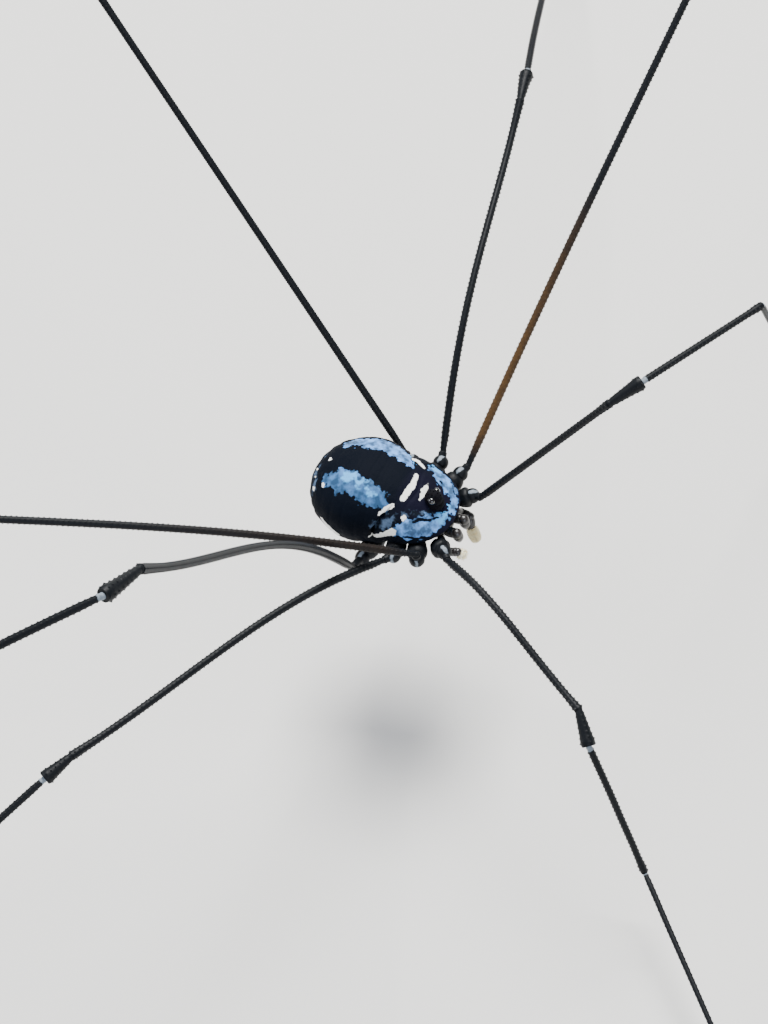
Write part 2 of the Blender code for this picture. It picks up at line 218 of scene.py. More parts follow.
def wander_of(tree: bpy.types.NodeTree, coordinates: bpy.types.NodeSocket, grain_mm: float,
              reach_mm: float) -> bpy.types.NodeSocket:
    """Make a noise that wanders either side of zero.

    Args:
        tree: The material's node tree.
        coordinates: The output that lays out the noise.
        grain_mm: The size of its grains in millimetres.
        reach_mm: How far it swings either way, in millimetres.

    Returns:
        The output of the noise.
    """
    noise = add_node(tree, "ShaderNodeTexNoise", {"Vector": coordinates, "Scale": 1.0 / (grain_mm * MM),
                                                  "Detail": 2.0, "Roughness": 0.5})
    swing = add_node(tree, "ShaderNodeMapRange", {"Value": noise.outputs["Fac"], "From Min": NOISE_LOW,
                                                  "From Max": NOISE_HIGH, "To Min": -reach_mm,
                                                  "To Max": reach_mm})
    return swing.outputs[0]


@dataclass(frozen=True)
class BackCuticle:
    """The back: sclerotised cuticle, velvet black, with silver guanin showing through in bands.

    The black is matt where fine grains cover it. The silver is broken into small cells, lilac on
    one flank and sky blue on the other, and the few white marks are chalky and crisp. The grains
    of a real back are finer, and are drawn as coarse as they need to be to show.
    """

    black: str = "050A14"
    brown: str = "0F0F1F"
    flank: str = "10161F"
    dull: str = "4D6079"
    lilac: str = "70A8F0"
    sky: str = "4873A5"
    bright: str = "5CAAE8"
    slate: str = "3C587A"
    deep: str = "2A4868"
    white: str = "FBFBF5"
    cell_mm: float = 0.38
    cell_tones: Pair = (0.41, 0.63)
    grain_mm: float = 0.045
    grain_relief: float = 0.45
    relief_mm: float = 0.02
    ragged_edge: Pair = (0.22, 0.16)
    crisp_edge: Pair = (0.12, 0.03)
    velvet_roughness: float = 0.68
    silver_roughness: float = 0.40
    ior: float = 1.45
    shine: float = 0.06

    def build(self) -> bpy.types.Material:
        """Make the material.

        Returns:
            The finish of the carapace and the abdomen.
        """
        material, tree, shader = new_material("silver_banded_cuticle")
        place = add_node(tree, "ShaderNodeTexCoord").outputs["Object"]
        cells = add_node(tree, "ShaderNodeTexNoise", {"Vector": place, "Scale": 1.0 / (self.cell_mm * MM),
                                                      "Detail": 3.0, "Roughness": 0.5})
        low, high = self.cell_tones
        tone = add_node(tree, "ShaderNodeMapRange", {"Value": cells.outputs["Fac"], "From Min": low,
                                                     "From Max": high}).outputs[0]
        skyward, browned = (add_node(tree, "ShaderNodeAttribute", attribute_name=name).outputs["Fac"]
                            for name in ("sky_share", "brown_share"))
        ragged = wander_of(tree, place, *self.ragged_edge)
        crisp = wander_of(tree, place, *self.crisp_edge)
        masks = {kind: edge_mask(tree, kind + "_mm", crisp if kind in CRISP_KINDS else ragged, softness)
                 for kind, softness in EDGE_SOFTNESS.items()}
        light = layered(tree, linear(self.lilac), (skyward, linear(self.sky)))
        between = layered(tree, linear(self.slate), (skyward, linear(self.deep)))
        silver = layered(tree, between, (tone, light), (masks["bright"], linear(self.bright)))
        dulled = layered(tree, linear(self.flank), (tone, linear(self.dull)))
        colour = layered(tree, linear(self.black), (browned, linear(self.brown)), (masks["dull"], dulled),
                         (masks["silver"], silver), (masks["line"], linear(self.black)),
                         (masks["white"], linear(self.white)))
        tree.links.new(colour, shader.inputs["Base Color"])
        gloss = add_node(tree, "ShaderNodeMapRange", {"Value": masks["silver"],
                                                      "To Min": self.velvet_roughness,
                                                      "To Max": self.silver_roughness})
        tree.links.new(gloss.outputs[0], shader.inputs["Roughness"])
        grains = add_node(tree, "ShaderNodeTexVoronoi", {"Vector": place,
                                                         "Scale": 1.0 / (self.grain_mm * MM)})
        bump = add_node(tree, "ShaderNodeBump", {"Height": grains.outputs["Distance"],
                                                 "Strength": self.grain_relief,
                                                 "Distance": self.relief_mm * MM}, invert=True)
        tree.links.new(bump.outputs[0], shader.inputs["Normal"])
        shader.inputs["IOR"].default_value = self.ior
        shader.inputs["Specular IOR Level"].default_value = self.shine
        return material


@dataclass(frozen=True)
class LegCuticle:
    """The legs: hard toothed cuticle with a satin gloss.

    One pair is brown by the body, and the joints have pale rings of thin skin. The same pale colour
    is painted as a highlight on top of each trochanter knob. The fine ridges of the real legs are
    drawn coarser, so that they show.
    """

    black: str = "070B10"
    brown: str = "4A341A"
    # Pale rings of thin skin at the joints; the same colour is the painted highlight on top of each
    # trochanter knob
    ring: str = "808A93"
    ridge_mm: float = 0.09
    ridge_relief: float = 0.5
    relief_mm: float = 0.02
    brown_edge: Pair = (0.5, 0.25)
    ring_and_highlight_edge: Pair = (0.1, 0.02)
    ring_and_highlight_softness: float = 0.05
    roughness: float = 0.50
    ior: float = 1.5
    shine: float = 0.17

    def build(self) -> bpy.types.Material:
        """Make the material.

        Returns:
            The finish of the legs.
        """
        material, tree, shader = new_material("toothed_leg_cuticle")
        place = add_node(tree, "ShaderNodeTexCoord").outputs["Object"]
        patches = wander_of(tree, place, *self.brown_edge)
        brown = add_node(tree, "ShaderNodeAttribute", attribute_name="brown_share").outputs["Fac"]
        share = add_node(tree, "ShaderNodeMath", {0: brown, 1: patches, 2: brown}, operation="MULTIPLY_ADD",
                         use_clamp=True)
        # Mask of the pale joint rings and of the painted highlight on the trochanter knobs
        ring_and_highlight_mask = edge_mask(tree, "ring_and_highlight_mm", wander_of(tree, place, *self.ring_and_highlight_edge), self.ring_and_highlight_softness)
        colour = layered(tree, linear(self.black), (share.outputs[0], linear(self.brown)),
                         (ring_and_highlight_mask, linear(self.ring)))
        tree.links.new(colour, shader.inputs["Base Color"])
        grain = add_node(tree, "ShaderNodeTexNoise", {"Vector": place, "Scale": 1.0 / (self.ridge_mm * MM),
                                                      "Detail": 3.0})
        bump = add_node(tree, "ShaderNodeBump", {"Height": grain.outputs["Fac"],
                                                 "Strength": self.ridge_relief,
                                                 "Distance": self.relief_mm * MM})
        tree.links.new(bump.outputs[0], shader.inputs["Normal"])
        shader.inputs["Roughness"].default_value = self.roughness
        shader.inputs["IOR"].default_value = self.ior
        shader.inputs["Specular IOR Level"].default_value = self.shine
        return material


@dataclass(frozen=True)
class PlainCuticle:
    """Cuticle of one tone with a fine grain, from glassy over the eyes to soft on the palps."""

    name: str
    light: str
    dark: str
    roughness: float
    grain_mm: float = 0.12
    relief: float = 0.4
    relief_mm: float = 0.02
    tones: Pair = (0.35, 0.65)
    coat: float = 0.0
    coat_roughness: float = 0.06
    shine: float = 0.5
    ior: float = 1.56

    def build(self) -> bpy.types.Material:
        """Make the material.

        Returns:
            The finish of one kind of small part.
        """
        material, tree, shader = new_material(self.name)
        place = add_node(tree, "ShaderNodeTexCoord").outputs["Object"]
        grain = add_node(tree, "ShaderNodeTexNoise", {"Vector": place, "Scale": 1.0 / (self.grain_mm * MM),
                                                      "Detail": 4.0})
        low, high = self.tones
        tone = add_node(tree, "ShaderNodeMapRange", {"Value": grain.outputs["Fac"], "From Min": low,
                                                     "From Max": high})
        tree.links.new(layered(tree, linear(self.dark), (tone.outputs[0], linear(self.light))),
                       shader.inputs["Base Color"])
        bump = add_node(tree, "ShaderNodeBump", {"Height": grain.outputs["Fac"], "Strength": self.relief,
                                                 "Distance": self.relief_mm * MM})
        tree.links.new(bump.outputs[0], shader.inputs["Normal"])
        constants = {"Roughness": self.roughness, "IOR": self.ior, "Specular IOR Level": self.shine,
                     "Coat Weight": self.coat, "Coat Roughness": self.coat_roughness}
        for name, value in constants.items():
            shader.inputs[name].default_value = value
        return material


@dataclass
class Finishes:
    """Every material of the animal, made once."""

    back: bpy.types.Material
    leg: bpy.types.Material
    dark: bpy.types.Material
    hill: bpy.types.Material
    palp: bpy.types.Material
    eye: bpy.types.Material

    @classmethod
    def make(cls) -> "Finishes":
        """Build the materials.

        Returns:
            All the finishes.
        """
        return cls(
            back=BackCuticle().build(),
            leg=LegCuticle().build(),
            # Hard, dark brown cuticle, worn smooth enough for small soft highlights
            dark=PlainCuticle("dark_mouthpart_cuticle", "241F1E", "0B0A0C", 0.38, coat=0.1).build(),
            # Granular cuticle, so matt that the hill shows as a black patch
            hill=PlainCuticle("matt_eye_hill_cuticle", "0B0B12", "040408", 0.8, shine=0.08).build(),
            # Thin, barely tanned cuticle under pale bristles, which looks like cream wax
            palp=PlainCuticle("cream_palp_cuticle", "FFFAE2", "F0E4BC", 0.5).build(),
            # Clear lens over black pigment, glossy as glass
            eye=PlainCuticle("black_eye_lens", "050506", "020203", 0.05, relief=0.0, coat=1.0).build(),
        )


def deselect_all() -> None:
    """Leave edit mode and deselect every object."""
    if bpy.context.mode != "OBJECT":
        bpy.ops.object.mode_set(mode="OBJECT")
    bpy.ops.object.select_all(action="DESELECT")


def activate(obj: bpy.types.Object) -> None:
    """Make one object the only selected one.

    Args:
        obj: The object to select.
    """
    deselect_all()
    obj.select_set(True)
    bpy.context.view_layer.objects.active = obj


def apply_modifier(obj: bpy.types.Object, kind: str, **settings) -> None:
    """Add a modifier with its settings and apply it.

    Args:
        obj: The object to change.
        kind: The modifier's type.
        settings: The modifier's own properties.
    """
    activate(obj)
    modifier = obj.modifiers.new(kind.lower(), kind)
    for name, value in settings.items():
        setattr(modifier, name, value)
    bpy.ops.object.modifier_apply(modifier=modifier.name)


def join(pieces: Sequence[bpy.types.Object]) -> bpy.types.Object:
    """Join pieces into the first one.

    Args:
        pieces: The objects to join.

    Returns:
        The first object, which now holds them all.
    """
    activate(pieces[0])
    for piece in pieces[1:]:
        piece.select_set(True)
    bpy.ops.object.join()
    return bpy.context.view_layer.objects.active


@dataclass(frozen=True)
class Station:
    """One cross-section of a shape that is extruded along X, in millimetres."""

    x: float
    half_width: float
    half_height: float
    z: float = 0.0


def extrude_through(name: str, sides: int, stations: Sequence[Station]) -> bpy.types.Object:
    """Extrude a ring through cross-sections, with the ends capped.

    Args:
        name: The object's name.
        sides: The number of sides of the ring.
        stations: The cross-sections in order along X.

    Returns:
        The closed shape, with its place in its mesh.
    """
    deselect_all()
    first = stations[0]
    bpy.ops.mesh.primitive_circle_add(vertices=sides, radius=1.0, fill_type="NGON",
                                      location=(first.x, 0.0, first.z), rotation=(0.0, math.pi / 2, 0.0))
    obj = bpy.context.object
    obj.name = name
    bpy.ops.object.transform_apply(location=True, rotation=True, scale=True)
    bpy.ops.object.mode_set(mode="EDIT")
    bpy.ops.transform.resize(value=(1.0, first.half_width, first.half_height),
                             center_override=(first.x, 0.0, first.z))
    for last, station in zip(stations, stations[1:]):
        bpy.ops.mesh.extrude_region_move(
            TRANSFORM_OT_translate={"value": (station.x - last.x, 0.0, station.z - last.z)})
        bpy.ops.transform.resize(value=(1.0, station.half_width / last.half_width,
                                        station.half_height / last.half_height),
                                 center_override=(station.x, 0.0, station.z))
    bpy.ops.mesh.select_all(action="SELECT")
    bpy.ops.mesh.normals_make_consistent(inside=False)
    bpy.ops.object.mode_set(mode="OBJECT")
    return obj


def egg(name: str, centre: Vector, radii: Vector, segments: int = 32,
        rings: int = 20) -> bpy.types.Object:
    """Add a sphere drawn out to three radii.

    Args:
        name: The object's name.
        centre: Its middle in millimetres.
        radii: Its radii along the three axes.
        segments: The number of faces round it.
        rings: The number of rows of faces.

    Returns:
        The closed shape, with its place in its mesh.
    """
    deselect_all()
    bpy.ops.mesh.primitive_uv_sphere_add(segments=segments, ring_count=rings, radius=1.0, location=centre)
    obj = bpy.context.object
    obj.name = name
    obj.scale = radii
    bpy.ops.object.transform_apply(location=True, rotation=True, scale=True)
    return obj


def select_points(obj: bpy.types.Object, test: Callable[[Vector], bool]) -> None:
    """Enter edit mode with only some points selected.

    Args:
        obj: The object to edit.
        test: What is asked of a point's place.
    """
    activate(obj)
    bpy.ops.object.mode_set(mode="EDIT")
    bpy.ops.mesh.select_mode(type="VERT")
    bpy.ops.mesh.select_all(action="DESELECT")
    bpy.ops.object.mode_set(mode="OBJECT")
    for vertex in obj.data.vertices:
        vertex.select = test(vertex.co)
    bpy.ops.object.mode_set(mode="EDIT")


def displace_where(obj: bpy.types.Object, name: str, height: float,
                   weight: Callable[[Vector], float]) -> None:
    """Raise or sink a surface along its normals by a height times a weight at each point.

    Args:
        obj: The object to shape.
        name: The name of the weights.
        height: The height in millimetres at full weight, negative to sink.
        weight: The weight from 0 to 1 at a place.
    """
    group = obj.vertex_groups.new(name=name)
    for vertex in obj.data.vertices:
        share = weight(vertex.co)
        if share > LEAST_WEIGHT:
            group.add([vertex.index], min(1.0, share), "REPLACE")
    apply_modifier(obj, "DISPLACE", strength=height, mid_level=0.0, vertex_group=name)
    obj.vertex_groups.remove(obj.vertex_groups[name])


def roughen(obj: bpy.types.Object, grain: float, height: float) -> None:
    """Break an even surface with a cloudy relief.

    Args:
        obj: The object to roughen.
        grain: The size of the clouds in millimetres.
        height: The height of the relief in millimetres.
    """
    texture = bpy.data.textures.new(obj.name + "_relief", "CLOUDS")
    texture.noise_scale = grain
    texture.noise_depth = 2
    apply_modifier(obj, "DISPLACE", strength=height, mid_level=0.5, texture=texture)
    bpy.data.textures.remove(texture)


def bend_along(obj: bpy.types.Object, path: Sequence[Vector], radii: Sequence[float] | None = None) -> None:
    """Bend a shape drawn along +X so that its axis follows a path.

    Args:
        obj: The shape, whose length is that of the path.
        path: The points that its axis follows.
        radii: For each point, what the shape's thickness is multiplied by there.
    """
    curve = bpy.data.curves.new("guide", "CURVE")
    curve.dimensions = "3D"
    curve.twist_mode = "Z_UP"
    curve.use_radius = True
    spline = curve.splines.new("POLY")
    spline.points.add(len(path) - 1)
    for i, (point, place) in enumerate(zip(spline.points, path)):
        point.co = (*place, 1.0)
        point.radius = radii[i] if radii is not None else 1.0
    guide = bpy.data.objects.new("guide", curve)
    bpy.context.collection.objects.link(guide)
    apply_modifier(obj, "CURVE", object=guide, deform_axis="POS_X")
    bpy.data.objects.remove(guide)


def bent_tube(name: str, sides: int, profile: Sequence[tuple[float, float]], path: Sequence[Vector],
              levels: int = 1, shape: Callable[[bpy.types.Object], None] | None = None) -> bpy.types.Object:
    """Make a smooth round tube whose radius changes along a path.

    Args:
        name: The object's name.
        sides: The number of its sides before it is smoothed.
        profile: Pairs of a share of the length and the radius there, in millimetres.
        path: The points that its axis follows.
        levels: How often its faces are divided to smooth it.
        shape: What else is done to the tube while it is straight.

    Returns:
        The closed tube.
    """
    length = (path[-1] - path[0]).length
    stations = [Station(share * length, radius, radius) for share, radius in profile]
    obj = extrude_through(name, sides, stations)
    apply_modifier(obj, "SUBSURF", levels=levels, render_levels=levels)
    if shape:
        shape(obj)
    bend_along(obj, path)
    return obj


def path_length(path: Sequence[Vector]) -> float:
    """Return the length of a path."""
    return sum((b - a).length for a, b in zip(path, path[1:]))


def set_attribute(obj: bpy.types.Object, name: str, values: Sequence[float]) -> None:
    """Store one number for each vertex under a name that materials read."""
    attribute = obj.data.attributes.new(name, "FLOAT", "POINT")
    attribute.data.foreach_set("value", np.asarray(values, dtype=np.float32))


def finish_piece(obj: bpy.types.Object, material: bpy.types.Material | None, slot: Slot,
                 *nodes: str) -> None:
    """Bring a finished piece to its place, dress it and tie it to the frame.

    Args:
        obj: The piece, drawn in millimetres from the middle of the body.
        material: Its finish, or None where its faces already have theirs.
        slot: Not used.
        nodes: The CAD nodes that it stands for.
    """
    activate(obj)
    obj.data.transform(Matrix.Translation(MIDDLE) @ Matrix.Scale(MM, 4))
    if material:
        obj.data.materials.clear()
        obj.data.materials.append(material)
    bpy.ops.object.shade_smooth_by_angle(angle=math.radians(SMOOTH_ANGLE))
    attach(obj, BODY)
    if nodes:
        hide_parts(*nodes)
    LOG.info("%s: %d faces", obj.name, len(obj.data.polygons))


@dataclass(frozen=True)
class Mark:
    """A tapered stroke on the back: places given by x, turn from the top and half width."""

    stroke: tuple[Place, ...]


@dataclass
class Back:
    """The carapace and the abdomen, with the markings of the back."""

    abdomen_middle: float = -0.85
    abdomen_back: float = 2.43
    abdomen_half_width: float = 2.44
    abdomen_widest_height: float = 0.49
    abdomen_rise: float = 1.70
    abdomen_drop: float = 1.93
    abdomen_fullness: float = 1.925
    shoulder_from: float = 0.05
    shoulder_length: float = 1.75
    shoulder_top: float = 1.86
    margin_reach: float = 1.33
    margin_sweep: float = 0.93
    margin_half_width: float = 2.0
    margin_power: float = 1.6
    carapace_half_width: float = 2.14
    carapace_crest: float = 1.80
    carapace_lip: float = 0.50
    rim_height: float = 0.40
    plate_edges: tuple[float, ...] = (-2.10, -2.47, -2.78, -3.02)
    turn_centre: float = -0.3

    least: float = 0.004
    body_sides: int = 120
    body_cuts: int = 56
    shoulder_cuts: int = 32
    shoulder_steepness: float = 1.46
    shoulder_power: float = 1.3
    shoulder_roundness: float = 0.25
    carapace_start: float = 0.05
    carapace_gap: float = 0.02
    narrowing_from: float = 0.15
    narrowing_datum: float = 0.14
    carapace_squareness: float = 2.8
    tuck_from: float = 0.9
    tuck_length: float = 0.86
    crest_power: float = 1.62
    rear_from: float = 1.0
    rear_drop: float = 0.5
    rear_power: float = 1.4
    carapace_least: Pair = (0.03, 0.05)
    underside_scale: Pair = (0.93, 0.20)
    groove_place: float = 1.62
    groove_wave: float = 0.10
    groove_half_width: float = 0.10
    groove_reach: float = 1.6
    groove_depth: float = 0.05
    rim_half_width: float = 0.16
    rim_relief: float = 0.05
    rim_tolerance: float = 0.01
    plates_end: float = -3.30
    plate_height: float = 0.055
    furrow_places: tuple[float, ...] = (-1.55, -0.95, -0.35, 0.25)
    furrow_half_width: float = 0.10
    furrow_depth: float = 0.015
    shield_edge: float = 0.16
    shield_step: float = 0.35
    abdomen_relief: Pair = (0.28, 0.03)
    carapace_relief: Pair = (0.30, 0.05)
    breastplate_height: float = -0.32
    breastplate: tuple[Place, ...] = (
        (0.10, 0.30, 0.30), (0.35, 0.95, 0.66), (1.0, 1.05, 0.80), (1.9, 1.0, 0.82), (2.5, 0.85, 0.72),
        (2.95, 0.60, 0.52), (3.10, 0.30, 0.28))
    breastplate_relief: Pair = (0.25, 0.05)
    sky_spread: float = 1.6
    sky_front: float = 1.6
    sky_fade: float = 0.6
    brown_start: float = 0.9
    brown_fade: float = 0.5
    brown_half_width: float = 1.6

    silver: tuple[Mark, ...] = (
        Mark(((-2.10, -23, 0.27), (-1.45, -20, 0.56), (-0.96, -19, 0.47), (-0.48, -22, 0.44),
              (-0.05, -25, 0.52), (0.35, -27, 0.42), (0.66, -31, 0.20))),
        Mark(((-2.10, 27, 0.14), (-1.75, 32, 0.34), (-1.20, 34.5, 0.43), (-0.70, 37, 0.48),
              (0.00, 38.5, 0.50), (0.45, 36, 0.36), (0.85, 30, 0.16))),
        Mark(((1.48, -54, 0.22), (1.95, -51, 0.46), (2.40, -45, 0.46), (2.76, -34, 0.34), (3.00, -19, 0.18))),
        Mark(((1.62, 43, 0.10), (1.93, 46, 0.30), (2.35, 42, 0.40), (2.70, 41, 0.36), (2.96, 36, 0.26),
              (3.12, 20, 0.14), (3.13, 4, 0.13), (3.08, -8, 0.12))),
    )
    dull: tuple[Mark, ...] = (
        Mark(((0.40, -54, 0.14), (0.85, -50, 0.24), (1.25, -42, 0.18))),
        Mark(((-2.95, 12, 0.08), (-2.92, -15, 0.10), (-2.72, -42, 0.09))),
        Mark(((1.60, -36, 0.10), (2.10, -29, 0.10), (2.60, -22, 0.08))),
    )
    bright: tuple[Mark, ...] = (
        Mark(((-1.22, -15, 0.20), (-1.02, -13, 0.17))),
        Mark(((-0.58, -17, 0.14), (-0.45, -16, 0.12))),
        Mark(((-0.12, -21, 0.13), (0.05, -24, 0.10))),
        Mark(((0.70, 45, 0.12), (1.15, 38, 0.12))),
        Mark(((1.55, 49, 0.10), (1.85, 48, 0.16))),
        Mark(((2.92, 10, 0.10), (2.98, -12, 0.12), (2.90, -30, 0.10))),
    )
    white: tuple[Mark, ...] = (
        Mark(((1.37, 19, 0.09), (1.43, 3, 0.13), (1.32, -17, 0.13))),
        Mark(((1.91, 19, 0.01), (1.96, 5, 0.15), (1.94, -10, 0.02))),
        Mark(((0.59, -42, 0.04), (0.82, -34, 0.10), (1.00, -29, 0.10))),
        Mark(((1.60, -39, 0.11), (1.63, -38, 0.10))),
        Mark(((1.30, -57, 0.17), (1.08, -60, 0.12), (0.28, -72, 0.05))),
        Mark(((0.62, 47, 0.07), (1.02, 42, 0.11), (1.42, 36.5, 0.06))),
        Mark(((-2.45, 3.5, 0.08), (-2.38, 2, 0.05))),
        Mark(((-2.00, -68, 0.10), (-1.62, -74, 0.19), (-1.25, -79, 0.17))),
        Mark(((-2.96, -9, 0.05), (-2.94, -10, 0.05))),
        Mark(((-2.85, -22, 0.045), (-2.83, -23, 0.045))),
        Mark(((-2.71, -37, 0.06), (-2.69, -39, 0.06))),
        Mark(((-2.24, -29, 0.07), (-2.20, -31, 0.06))),
    )
    line: tuple[Mark, ...] = (
        Mark(((2.04, -41, 0.06), (2.18, -36, 0.07), (2.55, -34, 0.06), (2.80, -25, 0.04))),
        Mark(((1.80, -60, 0.04), (2.30, -61, 0.05), (2.72, -59, 0.03))),
        Mark(((2.27, 36, 0.07), (2.32, 36, 0.06))),
        Mark(((2.70, 50, 0.03), (2.92, 43, 0.03))),
    )

    def fullness(self, x: float) -> float:
        """Return how full the abdomen is at a place along it, from 0 at its ends to 1."""
        share = min(1.0, abs(x - self.abdomen_middle) / self.abdomen_back)
        return (1 - share ** self.abdomen_fullness) ** (1 / self.abdomen_fullness)

    def abdomen_stations(self) -> list[Station]:
        """Work out the abdomen's cross-sections.

        Returns:
            Stations from its tip to the shoulder under the carapace.
        """
        stations = []
        tip = self.abdomen_middle - self.abdomen_back
        for i in range(self.body_cuts + 1):
            x = tip + (self.shoulder_from - tip) * (1 - math.cos(math.pi * i / self.body_cuts)) / 2
            full = max(self.fullness(x), self.least)
            stations.append(Station(x, self.abdomen_half_width * full, self.abdomen_rise * full,
                                    self.abdomen_widest_height))
        last = stations[-1]
        drop = last.half_height + last.z - self.shoulder_top
        for i in range(1, self.shoulder_cuts + 1):
            share = math.sin(0.5 * math.pi * i / self.shoulder_cuts)
            wide = max(math.sqrt(1 - share * share), self.least)
            fall = drop * (share * self.shoulder_steepness) ** self.shoulder_power
            height = (last.half_height - fall) * wide ** self.shoulder_roundness
            stations.append(Station(self.shoulder_from + self.shoulder_length * share,
                                    last.half_width * wide, max(height, self.least), last.z))
        return stations

    def past_margin(self, place: Vector) -> float:
        """Return how far in front of the margin of the abdomen's shield a place lies, in millimetres."""
        sweep = (abs(place.y) / self.margin_half_width) ** self.margin_power
        return place.x - (self.margin_reach - self.margin_sweep * sweep)

    def carapace_stations(self) -> list[Station]:
        """Work out the carapace's cross-sections, as a full oval whose lower part is then drawn up.

        Returns:
            Stations from under the abdomen's shoulder to the front.
        """
        stations = []
        low, high = self.carapace_start, CARAPACE_REACH - self.carapace_gap
        least_width, least_height = self.carapace_least
        for i in range(self.body_cuts + 1):
            x = low + (high - low) * (0.5 - 0.5 * math.cos(math.pi * i / self.body_cuts))
            share = min(1.0, max(0.0, x - self.narrowing_from) / (high - self.narrowing_datum))
            width = self.carapace_half_width * math.sqrt(max(0.0, 1 - share ** self.carapace_squareness))
            if x < self.tuck_from:
                width *= math.sqrt(max(0.0, 1 - ((self.tuck_from - x) / self.tuck_length) ** 4))
            slope = max(0.0, x - self.tuck_from) / (CARAPACE_REACH - self.tuck_from)
            descent = self.carapace_crest - self.carapace_lip
            top = self.carapace_crest - descent * slope ** self.crest_power
            top -= self.rear_drop * max(0.0, self.rear_from - x) ** self.rear_power
            height = max(top - self.rim_height, least_height)
            stations.append(Station(x, max(width, least_width), height, self.rim_height))
        return stations

    def inside(self, places: np.ndarray, marks: Sequence[Mark]) -> np.ndarray:
        """Measure how far inside the nearest mark each place is.

        Args:
            places: Points on the surface, one a row.
            marks: The strokes to measure from.

        Returns:
            For each place the distance in millimetres, negative outside.
        """
        turn = np.arctan2(places[:, 1], places[:, 2] - self.turn_centre)
        reach = np.hypot(places[:, 1], places[:, 2] - self.turn_centre)
        best = np.full(len(places), -FAR_OUTSIDE)
        for mark in marks:
            for (x0, t0, w0), (x1, t1, w1) in zip(mark.stroke, mark.stroke[1:]):
                a0, a1 = math.radians(t0), math.radians(t1)
                along_x, along_s = x1 - x0, (a1 - a0) * reach
                off_x, off_s = places[:, 0] - x0, (turn - a0) * reach
                length = along_x ** 2 + along_s ** 2
                share = np.clip((off_x * along_x + off_s * along_s) / length, 0.0, 1.0)
                away = np.hypot(off_x - share * along_x, off_s - share * along_s)
                best = np.maximum(best, w0 + share * (w1 - w0) - away)
        return best

    def paint(self, obj: bpy.types.Object) -> None:
        """Store the markings on a piece of the back.

        Args:
            obj: The piece, in millimetres from the middle of the body.
        """
        places = np.array([v.co[:] for v in obj.data.vertices])
        for kind in EDGE_SOFTNESS:
            set_attribute(obj, kind + "_mm", self.inside(places, getattr(self, kind)))
        along, across = places[:, 0], places[:, 1]
        sky = np.clip(0.5 - across / self.sky_spread, 0.0, 1.0)
        set_attribute(obj, "sky_share", sky * np.clip((self.sky_front - along) / self.sky_fade, 0.0, 1.0))
        brown = np.clip((along - self.brown_start) / self.brown_fade, 0.0, 1.0)
        set_attribute(obj, "brown_share", brown * np.clip(self.brown_half_width - np.abs(across), 0.0, 1.0))

    def build_abdomen(self, finishes: Finishes) -> None:
        """Make the abdomen with its lobe, its free hind plates and its faint furrows.

        Args:
            finishes: The materials.
        """
        obj = extrude_through("abdomen_shell", self.body_sides, self.abdomen_stations())
        select_points(obj, lambda place: place.z < self.abdomen_widest_height)
        bpy.ops.transform.resize(value=(1.0, 1.0, self.abdomen_drop / self.abdomen_rise),
                                 center_override=(0.0, 0.0, self.abdomen_widest_height))
        bpy.ops.object.mode_set(mode="OBJECT")
        apply_modifier(obj, "SUBSURF", levels=1, render_levels=1)

        def plates(place: Vector) -> float:
            """Return how far a place is from the front to the back of its plate."""
            for start, end in zip(self.plate_edges, self.plate_edges[1:] + (self.plates_end,)):
                if end < place.x <= start:
                    return (start - place.x) / (start - end)
            return 0.0

        def furrows(place: Vector) -> float:
            """Return how deep in a furrow a place is."""
            nearest = min(abs(place.x - x) for x in self.furrow_places)
            return max(0.0, 1 - nearest / self.furrow_half_width)

        def in_front(place: Vector) -> float:
            """Return how far a place is past the edge of the shield."""
            share = min(1.0, max(0.0, self.past_margin(place) / self.shield_edge))
            return share * share * (3 - 2 * share)

        displace_where(obj, "in_front", -self.shield_step, in_front)
        displace_where(obj, "plates", self.plate_height, plates)
        displace_where(obj, "furrows", -self.furrow_depth, furrows)
        roughen(obj, *self.abdomen_relief)
        self.paint(obj)
        finish_piece(obj, finishes.back, Slot.BACK, "abdomen")

    def build_carapace(self, finishes: Finishes) -> None:
        """Make the carapace as a low dome with a rolled rim.

        Args:
            finishes: The materials.
        """
        obj = extrude_through("carapace", self.body_sides, self.carapace_stations())
        select_points(obj, lambda place: place.z < self.rim_height - self.rim_tolerance)
        bpy.ops.transform.resize(value=(1.0, *self.underside_scale),
                                 center_override=(0.0, 0.0, self.rim_height))
        bpy.ops.object.mode_set(mode="OBJECT")
        apply_modifier(obj, "SUBSURF", levels=1, render_levels=1)

        def groove(place: Vector) -> float:
            """Return how deep in the groove across the carapace a place is."""
            edge = self.groove_place + self.groove_wave * math.cos(3 * place.y)
            deep = max(0.0, 1 - abs(place.x - edge) / self.groove_half_width)
            return deep * max(0.0, 1 - abs(place.y) / self.groove_reach)

        def rim(place: Vector) -> float:
            """Return how near the crest of the rim a place is."""
            return max(0.0, 1 - abs(place.z - self.rim_height) / self.rim_half_width)

        displace_where(obj, "groove", -self.groove_depth, groove)
        displace_where(obj, "rim", self.rim_relief, rim)
        roughen(obj, *self.carapace_relief)
        self.paint(obj)
        finish_piece(obj, finishes.back, Slot.BACK, "prosoma")

    def build_underside(self, finishes: Finishes) -> None:
        """Make the breastplate that the coxae meet under the carapace.

        Args:
            finishes: The materials.
        """
        stations = [Station(*row, self.breastplate_height) for row in self.breastplate]
        obj = extrude_through("breastplate", 48, stations)
        apply_modifier(obj, "SUBSURF", levels=2, render_levels=2)
        roughen(obj, *self.breastplate_relief)
        finish_piece(obj, finishes.dark, Slot.DARK)

    def build(self, finishes: Finishes) -> None:
        """Make every piece of the back and the underside.

        Args:
            finishes: The materials.
        """
        self.build_abdomen(finishes)
        self.build_carapace(finishes)
        self.build_underside(finishes)


